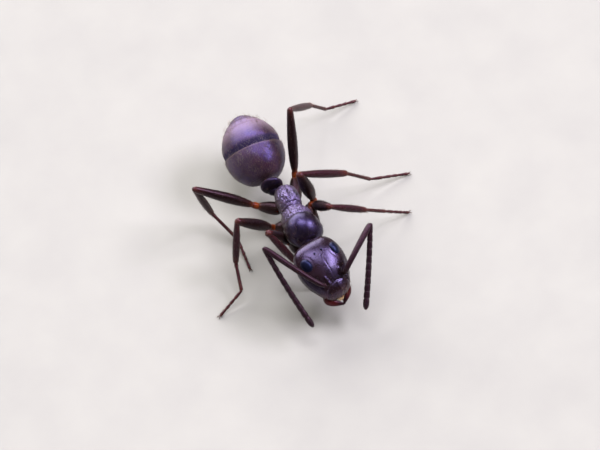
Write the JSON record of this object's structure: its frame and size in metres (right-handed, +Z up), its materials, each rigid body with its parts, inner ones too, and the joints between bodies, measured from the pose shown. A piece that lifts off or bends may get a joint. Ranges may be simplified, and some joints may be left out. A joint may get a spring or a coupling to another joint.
{
  "type": "ant",
  "caption": "Life-size worker ant standing on six spread legs, head lowered, feelers bent forward and round abdomen held level behind.",
  "frame": {"origin": "on the floor under the middle of the ant's bounding box", "axes": "+Z up from the floor, -Y the way the head points, +X to the ant's own left"},
  "size_m": [0.006, 0.0062, 0.0026],
  "materials": {
    "shell": "near-black purple-brown cuticle, glossy, finely netted",
    "gaster": "near-black cuticle with fine cross lines and pale down",
    "eye": "black compound eye of many tiny lenses",
    "jaw": "dark red cuticle of the jaws",
    "feeler": "dark red-brown cuticle under short down",
    "hip": "brown cuticle of the coxae",
    "joint": "clear orange-brown cuticle of the small leg joints",
    "femur": "near-black brown glossy cuticle",
    "tibia": "dark red-brown glossy cuticle",
    "tarsus": "red-brown cuticle of the feet"
  },
  "bodies": {
    "root": {"head": "shell", "eye_left": "eye", "eye_right": "eye", "mandible_left": "jaw", "mandible_right": "jaw", "scape_left": "feeler", "scape_right": "feeler", "funiculus_left": "feeler", "funiculus_right": "feeler", "pronotum": "shell", "mesothorax": "shell", "propodeum": "shell", "petiole": "shell", "gaster_1": "gaster", "gaster_2": "gaster", "gaster_3": "gaster", "gaster_4": "gaster", "gaster_5": "gaster", "coxa_left_front": "hip", "trochanter_left_front": "joint", "femur_left_front": "femur", "tibia_left_front": "tibia", "tarsus_left_front": "tarsus", "coxa_left_middle": "hip", "trochanter_left_middle": "joint", "femur_left_middle": "femur", "tibia_left_middle": "tibia", "tarsus_left_middle": "tarsus", "coxa_left_hind": "hip", "trochanter_left_hind": "joint", "femur_left_hind": "femur", "tibia_left_hind": "tibia", "tarsus_left_hind": "tarsus", "coxa_right_front": "hip", "trochanter_right_front": "joint", "femur_right_front": "femur", "tibia_right_front": "tibia", "tarsus_right_front": "tarsus", "coxa_right_middle": "hip", "trochanter_right_middle": "joint", "femur_right_middle": "femur", "tibia_right_middle": "tibia", "tarsus_right_middle": "tarsus", "coxa_right_hind": "hip", "trochanter_right_hind": "joint", "femur_right_hind": "femur", "tibia_right_hind": "tibia", "tarsus_right_hind": "tarsus"}
  },
  "joints": []
}
